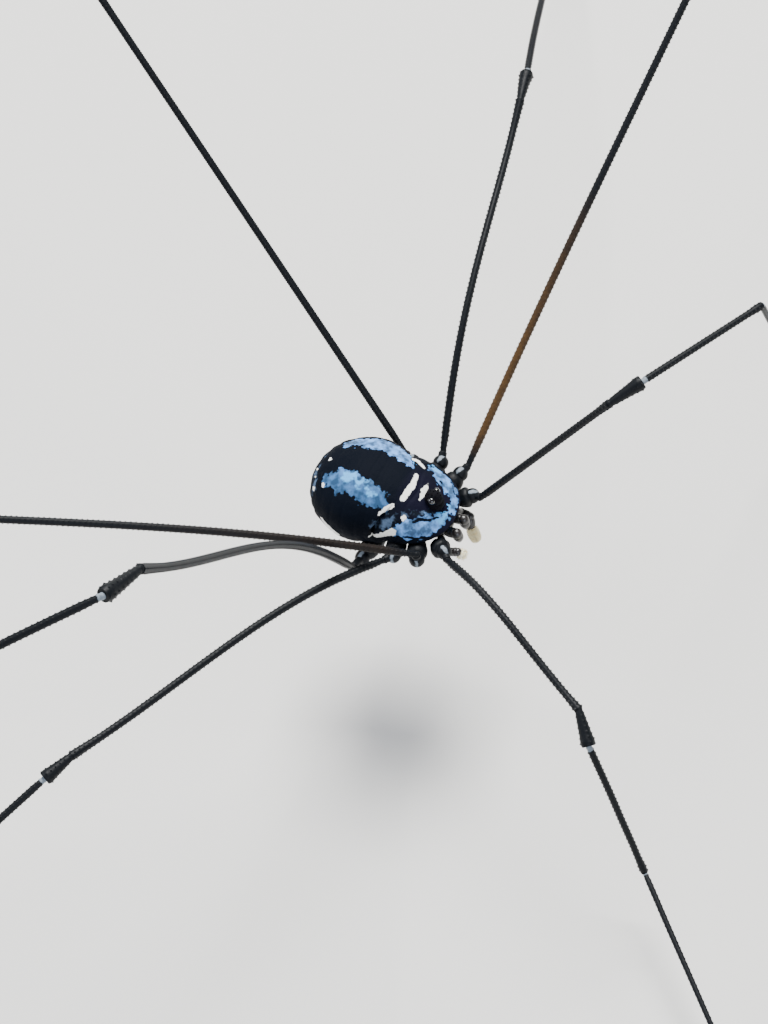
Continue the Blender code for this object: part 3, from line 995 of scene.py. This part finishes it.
def node_centreline(name: str, cuts: int, level: bool = False) -> list[Vector]:
    """Read the middle line of a CAD node, in millimetres from the middle of the body.

    Args:
        name: The node's name.
        cuts: The number of planes that cut the node across.
        level: Whether the planes stand upright, as for a foot that bends down to the floor.

    Returns:
        Points from one end of the node to the other, from the hip outwards.
    """
    mesh = bpy.data.objects[name].data
    places = np.empty(len(mesh.vertices) * 3)
    mesh.vertices.foreach_get("co", places)
    places = (places.reshape(-1, 3) - np.array(MIDDLE)) / MM
    centre = places.mean(axis=0)
    along = np.linalg.svd(places - centre, full_matrices=False)[2][0]
    if level:
        along[2] = 0.0
        along /= np.linalg.norm(along)
    if along @ centre < 0:
        along = -along
    edges = np.array([edge.vertices[:] for edge in mesh.edges])
    reach = (places - centre) @ along
    line = []
    for cut in np.linspace(reach.min() + CUT_MARGIN, reach.max() - CUT_MARGIN, cuts):
        first, second = reach[edges[:, 0]] - cut, reach[edges[:, 1]] - cut
        crossing = first * second < 0
        share = first[crossing] / (first[crossing] - second[crossing])
        starts, ends = places[edges[crossing, 0]], places[edges[crossing, 1]]
        line.append(Vector((starts + (ends - starts) * share[:, None]).mean(axis=0)))
    return line


def meeting_point(before: Sequence[Vector], after: Sequence[Vector]) -> Vector:
    """Find the point where two centrelines would meet.

    Args:
        before: The first centreline, whose end is meant.
        after: The second, whose start is meant.

    Returns:
        The point halfway between the two lines where they pass closest.
    """
    end, start = before[-1], after[0]
    way_in = (before[-1] - before[-2]).normalized()
    way_out = (after[1] - after[0]).normalized()
    gap = start - end
    turn = way_in.dot(way_out)
    if abs(turn) > NEARLY_STRAIGHT:
        return (start + end) / 2
    reach_in = (gap.dot(way_in) - gap.dot(way_out) * turn) / (1 - turn * turn)
    reach_out = (gap.dot(way_in) * turn - gap.dot(way_out)) / (1 - turn * turn)
    return (end + way_in * reach_in + start + way_out * reach_out) / 2


def even_path(path: Sequence[Vector], count: int) -> list[Vector]:
    """Space points evenly along a path.

    Args:
        path: The points of the path.
        count: How many points are wanted.

    Returns:
        The new points, with the path's two ends.
    """
    reaches = [0.0]
    for a, b in zip(path, path[1:]):
        reaches.append(reaches[-1] + (b - a).length)
    wanted = np.linspace(0.0, reaches[-1], count)
    columns = [np.interp(wanted, reaches, [p[i] for p in path]) for i in range(3)]
    return [Vector(p) for p in zip(*columns)]


@dataclass(frozen=True)
class SegmentLook:
    """How thick a leg segment is along its length, and how it is toothed and ringed."""

    name: str
    profile: Profile
    tooth_spacing: float
    tooth_height: float
    ring: float

    def radii_at(self, count: int) -> np.ndarray:
        """Return the radius at evenly spaced places along the segment."""
        shares = [share for share, _ in self.profile]
        return np.interp(np.linspace(0.0, 1.0, count), shares, [radius for _, radius in self.profile])


SEGMENTS = (
    SegmentLook("femur", ((0.0, 0.13), (0.02, 0.170), (0.5, 0.160), (0.93, 0.160), (1.0, 0.20)),
                0.22, 0.046, 0.0),
    SegmentLook("patella", ((0.0, 0.15), (0.15, 0.19), (0.7, 0.27), (0.9, 0.32), (1.0, 0.27)),
                0.22, 0.034, 0.0),
    SegmentLook("tibia", ((0.0, 0.12), (0.03, 0.15), (0.9, 0.145), (0.98, 0.19), (1.0, 0.16)),
                0.22, 0.044, 0.18),
    SegmentLook("metatarsus", ((0.0, 0.10), (0.03, 0.125), (0.95, 0.105), (1.0, 0.13)), 0.24, 0.036, 0.16),
    SegmentLook("tarsus", ((0.0, 0.09), (0.04, 0.105), (0.7, 0.08), (0.97, 0.06), (1.0, 0.025)),
                0.40, 0.026, 0.12),
)


# The pair of legs that is brown by the body, how far out, and how deep the brown is on each side
BROWN_PAIR = 2
BROWN_REACH = 13.0
BROWN_DEPTHS = {Side.LEFT: 1.0, Side.RIGHT: 0.12}


@dataclass
class Leg:
    """One walking leg: coxa, knobbed trochanter and five toothed segments down to the foot."""

    side: Side
    number: int
    root: Place
    hip: Place
    stub: Place
    brown_reach: float = 0.0
    brown_depth: float = 0.0
    brown_from: float = 0.4
    brown_rise: float = 1.2
    brown_fade: float = 1.6
    knob_radius: float = 0.34
    coxa_radius: float = 0.42
    foot_centre_height: float = 0.231
    foot_clearance: float = 1.18
    settling_height: float = 1.5
    sides: int = 12
    unit_radius: float = 0.165
    tooth_margin: float = 0.010
    tooth_rows: int = 4
    weld_reach: float = 0.002
    cuts: int = 12
    patella_cuts: int = 4
    least_guide: int = 24
    # The pale highlight painted on top of each trochanter knob: half length and half width in millimetres,
    # and how far it leans outwards
    knob_highlight_length: float = 0.23
    knob_highlight_width: float = 0.085
    knob_highlight_lean: float = 0.2
    knuckle_share: float = 1.12
    tip_reach: float = 0.03
    coxa_profile: Profile = (
        (0.0, 0.62), (0.15, 0.80), (0.45, 1.04), (0.72, 1.12), (0.86, 0.92), (0.94, 0.66))
    coxa_relief: Pair = (0.16, 0.05)
    knob_relief: Pair = (0.12, 0.03)
    neck_profile: Profile = (
        (0.0, 0.20), (0.5, 0.20), (0.80, 0.18), (0.92, 0.20), (1.0, 0.17))

    @property
    def prefix(self) -> str:
        """The start of the names of this leg's nodes."""
        return f"leg_{self.side.word}_{self.number}_"

    def toothed_unit(self, look: SegmentLook) -> bpy.types.Object:
        """Model one short ring of cuticle that bears six small teeth, three and three.

        Args:
            look: The segment's tooth spacing and height.

        Returns:
            The open ring, from the origin along +X.
        """
        middle = look.tooth_spacing / 2
        deselect_all()
        bpy.ops.mesh.primitive_cylinder_add(vertices=self.sides, radius=self.unit_radius,
                                            depth=look.tooth_spacing, end_fill_type="NOTHING",
                                            rotation=(0.0, math.pi / 2, 0.0), location=(middle, 0.0, 0.0))
        obj = bpy.context.object
        bpy.ops.object.transform_apply(location=True, rotation=True, scale=True)
        bpy.ops.object.mode_set(mode="EDIT")
        bpy.ops.mesh.select_all(action="SELECT")
        bpy.ops.mesh.bisect(plane_co=(middle, 0.0, 0.0), plane_no=(1.0, 0.0, 0.0))
        bpy.ops.mesh.select_mode(type="FACE")
        bpy.ops.mesh.select_all(action="DESELECT")
        bpy.ops.object.mode_set(mode="OBJECT")
        for face in obj.data.polygons:
            centre = face.center
            step = round(math.atan2(centre.z, centre.y) / (2 * math.pi / self.sides) - 0.5)
            face.select = step % self.tooth_rows == (0 if centre.x > middle else self.tooth_rows // 2)
        bpy.ops.object.mode_set(mode="EDIT")
        bpy.ops.mesh.inset(thickness=self.tooth_margin, depth=0.0, use_individual=True)
        bpy.ops.mesh.poke(offset=look.tooth_height)
        bpy.ops.object.mode_set(mode="OBJECT")
        return obj

    def build_segment(self, look: SegmentLook, path: list[Vector], reach: float,
                      finishes: Finishes) -> None:
        """Make one segment along its path, with a knuckle at its start.

        Args:
            look: The segment's thickness and teeth.
            path: Its middle line, from joint to joint.
            reach: How far along the leg it starts, in millimetres.
            finishes: The materials.
        """
        length = path_length(path)
        obj = self.toothed_unit(look)
        obj.name = self.prefix + look.name + "_cuticle"
        count = max(2, round(length / look.tooth_spacing))
        apply_modifier(obj, "ARRAY", count=count, use_relative_offset=False, use_constant_offset=True,
                       constant_offset_displace=(look.tooth_spacing, 0.0, 0.0), use_merge_vertices=True,
                       merge_threshold=self.weld_reach)
        obj.scale = (length / (count * look.tooth_spacing), 1.0, 1.0)
        activate(obj)
        bpy.ops.object.transform_apply(location=True, rotation=True, scale=True)
        bpy.ops.object.mode_set(mode="EDIT")
        bpy.ops.mesh.select_all(action="SELECT")
        bpy.ops.mesh.fill_holes(sides=0)
        bpy.ops.mesh.select_all(action="SELECT")
        bpy.ops.mesh.normals_make_consistent(inside=False)
        bpy.ops.object.mode_set(mode="OBJECT")
        along = np.array([v.co.x for v in obj.data.vertices])
        set_attribute(obj, "ring_and_highlight_mm", look.ring - along if look.ring else np.full_like(along, NO_RING))
        set_attribute(obj, "brown_share", self.brown_at(reach + along))
        guide = even_path(path, max(self.least_guide, 2 * len(path)))
        bend_along(obj, guide, look.radii_at(len(guide)) / self.unit_radius)
        knuckle_radius = look.profile[0][1] * self.knuckle_share
        knuckle = egg("knuckle", path[0], Vector((knuckle_radius,) * 3), 14, 10)
        points = len(knuckle.data.vertices)
        set_attribute(knuckle, "ring_and_highlight_mm", np.full(points, ALL_RING if look.ring else NO_RING))
        set_attribute(knuckle, "brown_share", self.brown_at(np.full(points, reach)))
        finish_piece(join([obj, knuckle]), finishes.leg, Slot.LEG, self.prefix + look.name)

    def brown_at(self, reach: np.ndarray) -> np.ndarray:
        """Work out how brown the leg is.

        Args:
            reach: Distances from the hip in millimetres.

        Returns:
            The share of brown at each distance.
        """
        if not self.brown_reach:
            return np.zeros_like(reach)
        fading = np.clip(self.brown_fade * (1 - reach / self.brown_reach), 0.0, 1.0)
        return self.brown_depth * fading * np.clip((reach - self.brown_from) / self.brown_rise, 0.0, 1.0)

    def knob_highlight_at(self, off: Vector, way: Vector, across: Vector) -> float:
        """Return how far inside the painted highlight on top of the knob a point is, in millimetres.

        Args:
            off: The point's place from the middle of the highlight.
            way: The direction along the highlight.
            across: The direction across it.

        Returns:
            The distance inside its edge, negative outside.
        """
        along, aside = off.dot(way) / self.knob_highlight_length, off.dot(across) / self.knob_highlight_width
        return self.knob_highlight_width * (1 - math.sqrt(along ** 2 + aside ** 2))

    def build_coxa(self, finishes: Finishes) -> None:
        """Make the coxa, the knob of the trochanter with a painted highlight on its top, and the stub to the
        femur.

        Args:
            finishes: The materials.
        """
        root, hip, stub = Vector(self.root), Vector(self.hip), Vector(self.stub)
        way = (hip - root).normalized()
        coxa = bent_tube(self.prefix + "coxa_cuticle", 24,
                         [(share, self.coxa_radius * wide) for share, wide in self.coxa_profile],
                         [root, root.lerp(hip, 0.5), hip],
                         shape=lambda tube: roughen(tube, *self.coxa_relief))
        knob = egg("knob", hip, Vector((self.knob_radius,) * 3), 28, 20)
        roughen(knob, *self.knob_relief)
        neck = bent_tube("neck", 18, self.neck_profile, [hip, hip.lerp(stub, 0.5), stub])
        across = way.cross(UP).normalized()
        # The painted highlight sits where the knob faces up towards the lights
        top = (UP + self.knob_highlight_lean * way).normalized()
        # The knob carries the painted highlight; the coxa and the neck carry no pale mark
        for piece in (coxa, knob, neck):
            places = [v.co for v in piece.data.vertices]
            knob_highlight = [self.knob_highlight_at(place - hip - top * self.knob_radius, way, across)
                     if piece is knob else NO_RING for place in places]
            set_attribute(piece, "ring_and_highlight_mm", knob_highlight)
            set_attribute(piece, "brown_share", self.brown_at(np.zeros(len(places))))
        finish_piece(join([coxa, knob, neck]), finishes.leg, Slot.LEG, self.prefix + "coxa")

    def build(self, finishes: Finishes) -> None:
        """Make the whole leg from the CAD's own centrelines.

        Args:
            finishes: The materials.
        """
        lines = [node_centreline(self.prefix + look.name,
                                 self.patella_cuts if look.name == "patella" else self.cuts,
                                 look.name == "tarsus") for look in SEGMENTS]
        joints = [Vector(self.stub)] + [meeting_point(a, b) for a, b in zip(lines, lines[1:])]
        foot = lines[-1]
        for point, radius in zip(foot, SEGMENTS[-1].radii_at(len(foot))):
            height = point.z + BODY_HEIGHT
            settled = min(1.0, max(0.0, 1 - (height - self.foot_centre_height) / self.settling_height))
            point.z -= (min(height, self.foot_centre_height) - self.foot_clearance * radius) * settled
        joints.append(foot[-1] + (foot[-1] - foot[-2]).normalized() * self.tip_reach)
        reach = 0.0
        self.build_coxa(finishes)
        for look, line, start, end in zip(SEGMENTS, lines, joints, joints[1:]):
            path = [start] + list(line[1:-1]) + [end]
            self.build_segment(look, path, reach, finishes)
            reach += path_length(path)


@dataclass
class Head:
    """The eye hill with its eyes, the chelicerae and the palps."""

    hill_centre: Place = (2.45, 0.0, 1.42)
    hill_radii: Place = (0.40, 0.35, 0.38)
    hill_foot: Place = (2.43, 0.0, 1.10)
    hill_foot_radii: Place = (0.46, 0.40, 0.32)
    eye_radius: float = 0.165
    eye_offset: Place = (0.03, 0.26, 0.14)
    chelicera_root: Place = (2.90, 0.36, -0.40)
    chelicera_knuckle: Place = (3.46, 0.37, -0.32)
    chelicera_tip: Place = (3.52, 0.34, -0.98)
    hill_relief: Pair = (0.10, 0.03)
    tooth_turns: tuple[float, ...] = (-52, -26, 0, 26, 52)
    tooth_lean: float = 0.28
    tooth_radii: Place = (0.035, 0.035, 0.05)
    basal_profile: Profile = ((0.0, 0.19), (0.3, 0.23), (0.7, 0.25), (1.0, 0.20))
    hand_profile: Profile = (
        (0.0, 0.20), (0.2, 0.25), (0.5, 0.22), (0.75, 0.13), (1.0, 0.04))
    hand_bulge: float = 0.03
    knuckle_radii: Place = (0.25, 0.24, 0.25)
    chelicera_relief: Pair = (0.12, 0.02)
    palp_profile: Profile = ((0.0, 0.15), (0.25, 0.20), (0.75, 0.21), (1.0, 0.17))
    palp_end_profile: Profile = ((0.0, 0.15), (0.25, 0.21), (0.75, 0.20), (1.0, 0.13))
    palp_joint_radius: float = 0.19
    palp_relief: Pair = (0.14, 0.02)
    bristle_steps: tuple[tuple[Side, int], ...] = ((Side.LEFT, 1), (Side.RIGHT, 9))
    bristle_height: float = 0.10
    bristle_order: Place = (1.0, 0.3, 0.7)
    palp_routes: tuple = (
        (Side.LEFT, ((2.82, 0.60, -0.46), (3.00, 1.04, -0.93), (3.40, 1.02, -1.04), (3.52, 0.76, -1.45),
                     (3.86, 0.46, -1.92))),
        (Side.RIGHT, ((2.82, -0.60, -0.46), (3.00, -1.06, -0.90), (3.50, -1.05, -0.74), (3.75, -1.01, -0.68),
                      (4.03, -0.90, -1.02))),
    )

    def build_eyes(self, finishes: Finishes) -> None:
        """Make the eye hill with two rows of blunt teeth, and a glossy eye at each side.

        Args:
            finishes: The materials.
        """
        centre = Vector(self.hill_centre)
        hill = egg("ocularium_shell", centre, Vector(self.hill_radii), 40, 28)
        hill = join([hill, egg("foot", Vector(self.hill_foot), Vector(self.hill_foot_radii), 40, 24)])
        roughen(hill, *self.hill_relief)
        teeth = []
        for side in Side:
            for turn in self.tooth_turns:
                slope = math.radians(turn)
                way = Vector((math.sin(slope), self.tooth_lean * side.value, math.cos(slope))).normalized()
                place = centre + Vector([w * r for w, r in zip(way, self.hill_radii)])
                teeth.append(egg("tooth", place, Vector(self.tooth_radii), 10, 8))
        finish_piece(join([hill] + teeth), finishes.hill, Slot.DARK, "ocularium")
        for side in Side:
            offset = Vector((self.eye_offset[0], side.value * self.eye_offset[1], self.eye_offset[2]))
            eye = egg(f"eye_{side.word}_lens", centre + offset, Vector((self.eye_radius,) * 3), 32, 20)
            finish_piece(eye, finishes.eye, Slot.EYE, f"eye_{side.word}")

    def build_chelicera(self, side: Side, finishes: Finishes) -> None:
        """Make one chelicera: basal length, knuckle, and the hand.

        Args:
            side: The side that it is on.
            finishes: The materials.
        """
        root, knuckle, tip = (Vector((x, side.value * y, z)) for x, y, z in (
            self.chelicera_root, self.chelicera_knuckle, self.chelicera_tip))
        basal = bent_tube(f"chelicera_{side.word}_shell", 24, self.basal_profile,
                          [root, root.lerp(knuckle, 0.5), knuckle])
        bulge = knuckle.lerp(tip, 0.5) + Vector((self.hand_bulge, 0.0, 0.0))
        hand = bent_tube("hand", 24, self.hand_profile, [knuckle, bulge, tip])
        piece = join([basal, hand, egg("round", knuckle, Vector(self.knuckle_radii), 24, 16)])
        roughen(piece, *self.chelicera_relief)
        finish_piece(piece, finishes.dark, Slot.DARK, f"chelicera_{side.word}")

    def raise_bristles(self, obj: bpy.types.Object, step: int) -> None:
        """Draw faces of a skin out to short bristles.

        The faces are counted by their place along a slanting line, because an extrusion numbers
        them anew in each run.

        Args:
            obj: The skin, still straight.
            step: One face in so many bears a bristle.
        """
        activate(obj)
        bpy.context.tool_settings.mesh_select_mode = (False, False, True)
        slant = Vector(self.bristle_order)
        faces = sorted(obj.data.polygons, key=lambda face: face.center.dot(slant))
        for number, face in enumerate(faces):
            face.select = number % step == 0
        bpy.ops.object.mode_set(mode="EDIT")
        bpy.ops.mesh.poke(offset=self.bristle_height)
        bpy.ops.object.mode_set(mode="OBJECT")

    def build_palp(self, side: Side, route: Sequence[tuple], finishes: Finishes) -> None:
        """Make one palp: three dark joints and a pale, bristly end, denser on the left one.

        Args:
            side: The side that it is on.
            route: Its joints, from the breastplate outwards.
            finishes: The materials.
        """
        joints = [Vector(place) for place in route]
        step = dict(self.bristle_steps)[side]
        parts = []
        for start, end in zip(joints, joints[1:]):
            last = end is joints[-1]
            profile = self.palp_end_profile if last else self.palp_profile
            parts.append(bent_tube(f"palp_{side.word}_shell", 20, profile,
                                   [start, start.lerp(end, 0.5), end], 2,
                                   (lambda skin: self.raise_bristles(skin, step)) if last else None))
            parts[-1].data.materials.append(finishes.palp if last else finishes.dark)
        for joint in joints[1:-1]:
            parts.append(egg("round", joint, Vector((self.palp_joint_radius,) * 3), 20, 14))
            parts[-1].data.materials.append(finishes.dark)
        piece = join(parts)
        roughen(piece, *self.palp_relief)
        finish_piece(piece, None, Slot.PALP, f"palp_{side.word}")

    def build(self, finishes: Finishes) -> None:
        """Make every piece of the head.

        Args:
            finishes: The materials.
        """
        self.build_eyes(finishes)
        for side in Side:
            self.build_chelicera(side, finishes)
        for side, route in self.palp_routes:
            self.build_palp(side, route, finishes)


@dataclass(frozen=True)
class Lamp:
    """A soft square light that faces the animal, placed from the middle of its body in metres."""

    name: str
    place: Place
    size: float
    power: float
    tint: str


@dataclass
class Studio:
    """The plain pale floor, the soft lights and the camera at the photograph's angle."""

    floor_size: float = 3.0
    camera_place: Place = (37.52373571, -51.52057922, 93.93967866)
    camera_right: Place = (0.9010554, 0.41224076, -0.13474691)
    camera_up: Place = (-0.2814815, 0.79222363, 0.54143317)
    camera_back: Place = (0.32995051, -0.44993252, 0.82987553)
    focal_pixels: float = 2640.0
    picture_height: float = 1024.0
    sensor_height: float = 24.0
    nearest_seen: float = 0.001
    mottle_scale: float = 14.0
    floor_tones: tuple[str, str] = ("DEDDD8", "E6E5E1")
    floor_roughness: float = 0.8
    surround_tint: str = "E4E8F0"
    surround_strength: float = 0.35
    lamps: tuple[Lamp, ...] = (
        Lamp("key", (-0.05, 0.24, 0.40), 0.20, 5.8, "FFFEFC"),
        Lamp("fill", (0.30, -0.30, 0.26), 0.30, 1.2, "E9F0FF"),
        Lamp("back", (-0.34, -0.10, 0.26), 0.24, 1.0, "F2F4FF"),
    )

    def build_floor(self) -> None:
        """Make the floor, a matt painted sheet with a faint mottle."""
        deselect_all()
        bpy.ops.mesh.primitive_plane_add(size=self.floor_size, location=(0.0, 0.0, 0.0))
        floor = bpy.context.object
        floor.name = "floor"
        material, tree, shader = new_material("pale_matt_floor")
        place = add_node(tree, "ShaderNodeTexCoord").outputs["Object"]
        mottle = add_node(tree, "ShaderNodeTexNoise", {"Vector": place, "Scale": self.mottle_scale,
                                                       "Detail": 3.0})
        dark, light = (linear(tone) for tone in self.floor_tones)
        tree.links.new(layered(tree, dark, (mottle.outputs["Fac"], light)), shader.inputs["Base Color"])
        shader.inputs["Roughness"].default_value = self.floor_roughness
        floor.data.materials.append(material)

    def build_lamp(self, lamp: Lamp) -> None:
        """Add one light.

        Args:
            lamp: Its place, size and power.
        """
        light = bpy.data.lights.new(lamp.name, "AREA")
        light.size = lamp.size
        light.energy = lamp.power
        light.color = linear(lamp.tint)[:3]
        place = Vector(lamp.place)
        obj = bpy.data.objects.new(lamp.name, light)
        obj.location = MIDDLE + place
        obj.rotation_euler = place.to_track_quat("Z", "Y").to_euler()
        bpy.context.collection.objects.link(obj)

    def build_world(self) -> None:
        """Set an even pale surround."""
        world = bpy.data.worlds.new("studio")
        world.use_nodes = True
        surround = world.node_tree.nodes["Background"]
        surround.inputs["Color"].default_value = linear(self.surround_tint)
        surround.inputs["Strength"].default_value = self.surround_strength
        bpy.context.scene.world = world

    def build_camera(self) -> None:
        """Set the camera by the photograph's viewpoint and field of view."""
        data = bpy.data.cameras.new("camera")
        data.sensor_fit = "VERTICAL"
        data.sensor_height = self.sensor_height
        data.lens = self.focal_pixels / self.picture_height * self.sensor_height
        data.clip_start = self.nearest_seen
        camera = bpy.data.objects.new("camera", data)
        turn = Matrix((self.camera_right, self.camera_up, self.camera_back)).transposed()
        camera.rotation_euler = turn.to_euler()
        camera.location = MIDDLE + Vector(self.camera_place) * MM
        bpy.context.collection.objects.link(camera)
        bpy.context.scene.camera = camera

    def build(self) -> None:
        """Make the floor, the lights and the camera."""
        self.build_camera()
        self.build_floor()
        self.build_world()
        for lamp in self.lamps:
            self.build_lamp(lamp)


def leg_rows() -> list[Leg]:
    """Set out the eight legs.

    Returns:
        The legs, pair by pair, the left one first.
    """
    # Each pair's number, root and hip, and the turn, rise and reach of its left and right stubs
    pairs = (
        (1, (2.80, 1.16, -0.24), (3.40, 1.50, -0.10), (-4, 22, 0.50), (-49, 7, 0.50)),
        (2, (1.94, 1.08, -0.36), (2.50, 2.30, 0.00), (64, 20, 0.50), (-45, 80, 0.55)),
        (3, (1.14, 1.08, -0.42), (1.50, 2.50, 0.10), (99, 22, 0.50), (-122, 12, 0.50)),
        (4, (0.34, 1.08, -0.62), (-0.02, 2.62, -0.72), (158, 32, 0.50), (-93, 27, 0.90)),
    )
    legs = []
    for number, root, hip, left, right in pairs:
        for side, (turn, rise, reach) in ((Side.LEFT, left), (Side.RIGHT, right)):
            turn, rise = math.radians(turn), math.radians(rise)
            place = Vector((hip[0], side.value * hip[1], hip[2]))
            stub = place + reach * Vector((math.cos(rise) * math.cos(turn), math.cos(rise) * math.sin(turn),
                                           math.sin(rise)))
            start = (root[0], side.value * root[1], root[2])
            legs.append(Leg(side, number, start, tuple(place), tuple(stub)))
            if number == BROWN_PAIR:
                legs[-1].brown_reach = BROWN_REACH
                legs[-1].brown_depth = BROWN_DEPTHS[side]
    return legs


def main() -> None:
    """Build the studio, then the animal from its body to its feet."""
    finishes = Finishes.make()
    Studio().build()
    Back().build(finishes)
    Head().build(finishes)
    for leg in leg_rows():
        leg.build(finishes)
        LOG.info("leg %s %d built", leg.side.word, leg.number)


if __name__ == "__main__":
    main()
